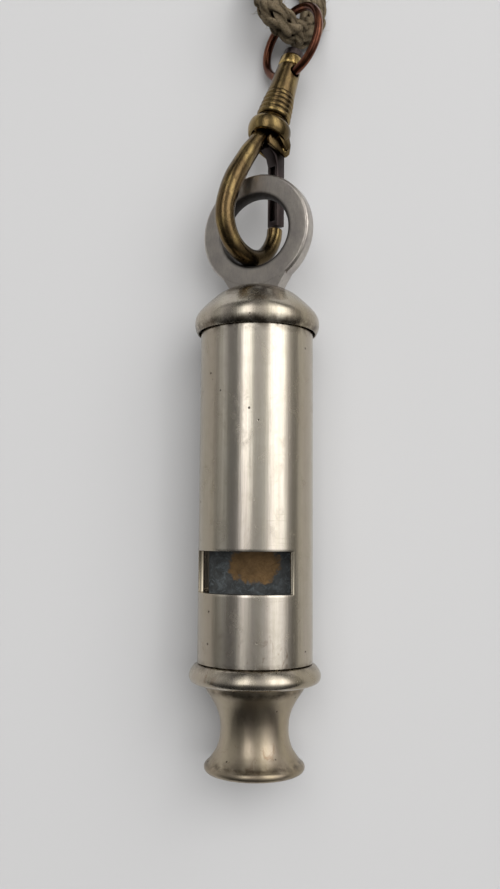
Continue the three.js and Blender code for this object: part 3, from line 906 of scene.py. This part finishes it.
# The bow's middle line and its radius at shares of its length
BOW = [(-1.1, 0.3), (-1.15, -1.6), (-1.75, -3.6), (-2.4, -5.9), (-3.05, -8.8), (-3.45, -11.1),
       (-3.55, -13.9), (-3.2, -16.4), (-2.15, -18.35), (-0.45, -19.85), (1.7, -20.55), (3.9, -20.35),
       (5.65, -19.15), (6.5, -17.4), (6.75, -15.4), (6.42, -13.72)]
BOW_RADII = [(0, 1.05), (0.08, 1.18), (0.2, 1.42), (0.33, 1.53), (0.5, 1.46),
             (0.62, 1.42), (0.74, 1.38), (0.85, 1.24), (1, 1.18)]
TIP_ROUND = 0.2                 # the bow's tip is rounded over this length
CHEEK = [(-0.9, 0), (2.6, 0), (3.5, -1.6), (3.65, -2.6), (3.3, -3.3), (-0.5, -3.3), (-0.9, -2.6)]
SHOULDER = [(0.1, -0.6), (2.3, -0.6), (2.95, -1.5), (3.1, -2.2), (2.6, -2.75), (1.6, -2.3), (0.5, -1.7)]


def bow_radius(share):
    for (a, ra), (b, rb) in zip(BOW_RADII, BOW_RADII[1:]):
        if share <= b:
            return ra + (rb - ra) * smooth(share, a, b)
    return BOW_RADII[-1][1]


def make_bow(brass):
    """The bell under the swivel and the bow below it, in one piece."""
    bead = spline([(3.0, -1.55), (3.22, -1.0), (3.33, -0.3), (3.22, 0.45), (2.8, 1.0), (2.5, 1.35)], 6)
    bell = turned([(0, -0.4), (2.4, -0.4), (2.5, -1.6), (2.9, -1.62), *bead, (2.45, 1.5), (1.6, 1.5),
                   (1.6, 2.4), (0, 2.4)], 96)
    line = spaced(spline([(*p, 0) for p in BOW], 12), 0.12)
    count = len(line) - 1
    long = length_of(line)
    radii = []
    for i in range(count + 1):
        left = long * (1 - i / count)
        tip = math.sqrt(max(0.02, 1 - (1 - min(1, left / TIP_ROUND)) ** 2))
        radii.append(bow_radius(i / count) * tip)
    tube(bell, line, radii, 32)
    piece("hook_bow", bell, HOOK, "clip", brass, ["hook_body"])


def make_cheeks(brass):
    """The two plates that hold the gate's pin, each with a raised shoulder."""
    cheeks = Shell()
    for low, high in ((CHEEK_IN, CHEEK_OUT), (-CHEEK_OUT, -CHEEK_IN)):
        slab(CHEEK, low, high, cheeks)
    for low, high in ((CHEEK_IN + 0.2, 2.45), (-2.45, -CHEEK_IN - 0.2)):
        slab(SHOULDER, low, high, cheeks)
    bevel(piece("hook_cheeks", cheeks, HOOK, "clip", brass), 0.16)


def make_sleeve(brass):
    """A ribbed sleeve round the swivel's neck."""
    ribs = [(1.9, 1.8), (2.45, 1.8), (2.62, 2.0)]
    for k in range(4):
        y, r = 2.15 + k * 0.86, 2.64 - k * 0.085
        ribs += [(r, y), (r + 0.05, y + 0.16), (r + 0.01, y + 0.34), (r - 0.27, y + 0.47),
                 (r - 0.27, y + 0.62)]
    ribs += [(2.3, 5.6), (2.24, 6.1), (1.2, 6.1), (1.2, 4.6), (1.9, 4.6)]
    piece("sleeve", turned(ribs, 96, closed=True, radius=0.08), HOOK, "clip", brass,
          ["barrel_sleeve"])


def make_head(brass, bright, steel):
    """The swivel's head with its cross hole, and the collar and the washer on its far end."""
    taper = [(0, 3.0), (1.5, 3.0), (1.5, 3.5), (0.9, 3.5), (0.9, 6.16), (2.22, 6.16), (2.1, 7.6),
             (1.93, 10.3), (1.87, 11.3), (1.7, 11.38), (0.8, 11.4), (0.8, 14.9), (0, 14.9)]
    head = piece("head", turned(taper, 96, radius=0.1), HOOK, "head", brass, ["swivel_head"])
    cut_with(head, on_z(rod(CROSS_HOLE_R, -3, 3), (0, CROSS_HOLE_Y, 0)), HOOK)
    collar = [(1.1, 11.44), (1.76, 11.44), (1.88, 11.7), (1.82, 12.95), (1.66, 13.3), (1.1, 13.35)]
    piece("brass_collar", turned(collar, 64, closed=True, radius=0.1), HOOK, "head", bright,
          ["head_collar"])
    washer = [(1.0, 13.42), (1.58, 13.42), (1.58, 14.5), (1.0, 14.65)]
    piece("stub_washer", turned(washer, 64, closed=True, radius=0.12), HOOK, "head", steel,
          ["head_washer"])


def make_pin(bright):
    """The gate's pin, from cheek to cheek."""
    reach = CHEEK_OUT + 0.05
    pin = [(0, -reach - 0.1), (0.3, -reach - 0.08), (0.42, -reach), (0.42, reach), (0.3, reach + 0.08),
           (0, reach + 0.1)]
    piece("pin", on_z(turned(pin, 40, radius=0.08), (*GATE_PIVOT, 0)), HOOK, "clip", bright,
          ["gate_pin"])


def make_gate(steel):
    """A bar hollowed on the side towards the bow's back."""
    foot = -GATE_LONG - 0.16
    outline = [(-GATE_HALF_DEEP, foot), (GATE_HALF_DEEP, foot), (GATE_HALF_DEEP, 0.1), (0.5, 0.7),
               (-0.2, 0.85), (-0.95, 0.8), (-2.05, 0.85), (-2.25, 0.1), (-1.2, -0.95),
               (-GATE_HALF_DEEP, -2.2)]
    gate = piece("sprung_gate", slab(outline, -GATE_HALF_WIDE, GATE_HALF_WIDE), GATE, "gate",
                 steel, ["gate"])
    hollow = [(-2, 0.7 - GATE_LONG), (-0.1, 0.7 - GATE_LONG), (-0.1, -2.4), (-2, -2.4)]
    cut_with(gate, slab(hollow, -0.6, 0.6), GATE)
    bevel(gate, 0.09)


def make_ring(copper):
    """A ring of wire that is a little out of round."""
    shell = Shell()
    segments, sides = 160, 24
    rings = []
    for i in range(segments):
        a = 2 * math.pi * i / segments
        uneven = 1 + 0.012 * math.sin(3 * a + 0.4)
        rings.append(shell.ring_of([
            (WIRE_R * math.sin(t),
             RING_R - RING_DROP + (RING_R * uneven + WIRE_R * math.cos(t)) * math.cos(a),
             (RING_R * uneven + WIRE_R * math.cos(t)) * math.sin(a))
            for t in (2 * math.pi * k / sides for k in range(sides))]))
    for a, b in zip(rings, rings[1:] + rings[:1]):
        shell.bridge(a, b)
    piece("ring_of_copper", shell, RING, "ring", copper, ["copper_ring"])


# --- stage ----------------------------------------------------------------------------------------

def make_floor():
    shell = Shell()
    ring = shell.ring_of([(x, y, 0) for x, y in ((-3, -3), (3, -3), (3, 3), (-3, 3))])
    shell.cap(ring)
    mesh = bpy.data.meshes.new("floor")
    mesh.from_pydata(shell.verts, [], shell.faces)
    made, tree, surface = shader("pale_floor", 0.0, 0.6)
    tone = grain(tree, (0.004, 0.004, 0.004), detail=2, low=0.2, high=0.8)
    colour = blend_of(tree, tone, (0.52, 0.52, 0.523), (0.54, 0.54, 0.543))
    tree.links.new(colour, surface.inputs["Base Color"])
    surface.inputs["Specular IOR Level"].default_value = 0.25
    mesh.materials.append(made)
    floor = bpy.data.objects.new("floor", mesh)
    bpy.context.scene.collection.objects.link(floor)


SKY_ACROSS, SKY_ALONG = 2.5, 1.2         # what a full white stands for in the sky's two kinds of ramp


def fill_ramp(ramp, stops):
    while len(ramp.elements) > 1:
        ramp.elements.remove(ramp.elements[-1])
    ramp.elements[0].position = stops[0][0]
    ramp.elements[0].color = (stops[0][1],) * 3 + (1,)
    for at, value in stops[1:]:
        ramp.elements.new(at).color = (value,) * 3 + (1,)


def make_sky():
    """A soft studio: a broad window to the right, a narrower one to the left, and a dark near side."""
    world = bpy.data.worlds.new("studio")
    world.use_nodes = True
    bpy.context.scene.world = world
    tree = world.node_tree
    tree.nodes.clear()
    way = node(tree, "SeparateXYZ", {"Vector": node(tree, "TexCoord").outputs["Generated"]})
    around = math_of(tree, "ARCTAN2", way.outputs[0], way.outputs[2])
    share = span(tree, around, -math.pi / 2, math.pi / 2)
    # degrees from overhead, towards the right, and the light's strength there
    far_side = node(tree, "ValToRGB", {"Fac": share})
    fill_ramp(far_side.color_ramp, [((d + 90) / 180, v / SKY_ACROSS) for d, v in (
        (-90, 0.3), (-78, 0.42), (-66, 0.42), (-58, 0.16), (-40, 0.15), (-33, 0.3), (-27, 1.9), (-14, 1.9),
        (-8, 0.46), (8, 0.46), (22, 0.6), (29, 2.1), (56, 2.1), (65, 0.55), (75, 0.28), (90, 0.24))])
    near_side = node(tree, "ValToRGB", {"Fac": share})
    fill_ramp(near_side.color_ramp, [((d + 90) / 180, v / SKY_ACROSS) for d, v in (
        (-90, 0.28), (-78, 0.44), (-66, 0.44), (-58, 0.24), (-40, 0.24), (-35, 0.4), (-29, 1.3), (-23, 1.2),
        (-16, 0.5), (-8, 0.42), (8, 0.5), (24, 1.2), (34, 2.2), (50, 2.1), (60, 1.2), (72, 0.35),
        (90, 0.25))])
    farther = span(tree, way.outputs[1], -0.1, 0.07)
    across = blend_of(tree, farther, near_side.outputs[0], far_side.outputs[0])
    fore = span(tree, way.outputs[1], -1, 1)
    along = node(tree, "ValToRGB", {"Fac": fore})
    # degrees from overhead, towards the far side
    fades = [(-90, 0.05), (-50, 0.06), (-30, 0.12), (-14, 0.34), (-7, 0.5), (0, 0.8), (6, 0.98),
             (14, 1.15), (36, 1.15), (52, 0.6), (68, 0.25), (90, 0.18)]
    fill_ramp(along.color_ramp, [((math.sin(d * DEG) + 1) / 2, v / SKY_ALONG) for d, v in fades])
    light = blend_of(tree, 1.0, across, along.outputs[0], "MULTIPLY")
    light = blend_of(tree, 1.0, light, (1.0, 0.985, 0.97), "MULTIPLY")
    sky = node(tree, "Background", {"Color": light, "Strength": SKY_ACROSS * SKY_ALONG})
    plain = node(tree, "Background", {"Color": (0.72, 0.72, 0.725, 1), "Strength": 1.0})
    seen = node(tree, "LightPath").outputs["Is Camera Ray"]
    mixed = tree.nodes.new("ShaderNodeMixShader")
    tree.links.new(seen, mixed.inputs[0])
    tree.links.new(sky.outputs[0], mixed.inputs[1])
    tree.links.new(plain.outputs[0], mixed.inputs[2])
    tree.links.new(mixed.outputs[0], node(tree, "OutputWorld").inputs["Surface"])
    bpy.context.scene.view_settings.view_transform = "Standard"


def make_overhead_light():
    data = bpy.data.lights.new("overhead", "AREA")
    data.shape = "SQUARE"
    data.size = 0.6
    data.energy = 4.2
    overhead = bpy.data.objects.new("overhead", data)
    overhead.location = (0.12, 0.15, 0.7)
    overhead.rotation_euler = (-12 * DEG, 10 * DEG, 0)
    overhead.visible_glossy = False
    bpy.context.scene.collection.objects.link(overhead)


# --- build ----------------------------------------------------------------------------------------

make_camera()
make_lanyard(make_hemp())
nickel = make_nickel("worn_nickel", (0.70, 0.655, 0.56), (0.64, 0.57, 0.43), warm=0.5,
                     roughness=(0.16, 0.34), stain_y=-24.5, left_flank_shade=0.62)
dull_nickel = make_nickel("dull_nickel", (0.60, 0.555, 0.46), (0.50, 0.43, 0.30), warm=0.6,
                          roughness=(0.2, 0.36), stain_y=-28.0, left_flank_shade=0.35)
warm_nickel = make_nickel("warm_nickel", (0.47, 0.405, 0.30), (0.44, 0.34, 0.20), warm=0.8,
                          roughness=(0.3, 0.46), stain_y=-38.0, left_flank_shade=0.35)
make_tube(nickel)
make_cap(dull_nickel)
make_loop(make_loop_metal())
make_collar(dull_nickel)
make_mouthpiece(warm_nickel)
dress(("septum_plate", "windway_block_front", "windway_block_back", "chamber_stop_front",
       "chamber_stop_back"), make_inner_brass())
aged = make_brass("aged_brass", (0.15, 0.102, 0.048), (0.50, 0.37, 0.148), share=0.04,
                  roughness=(0.17, 0.34))
bright = make_brass("bright_brass", (0.40, 0.27, 0.10), (0.72, 0.54, 0.22), share=0.2,
                    roughness=(0.2, 0.36))
steel = make_steel()
make_bow(aged)
make_cheeks(aged)
make_sleeve(aged)
make_head(aged, bright, steel)
make_pin(bright)
make_gate(steel)
dress(("gate_spring", "swivel_washer"), steel)
make_ring(make_brass("dark_copper", (0.125, 0.048, 0.030), (0.42, 0.17, 0.085), share=0.03,
                     roughness=(0.16, 0.3)))
make_floor()
make_sky()
make_overhead_light()
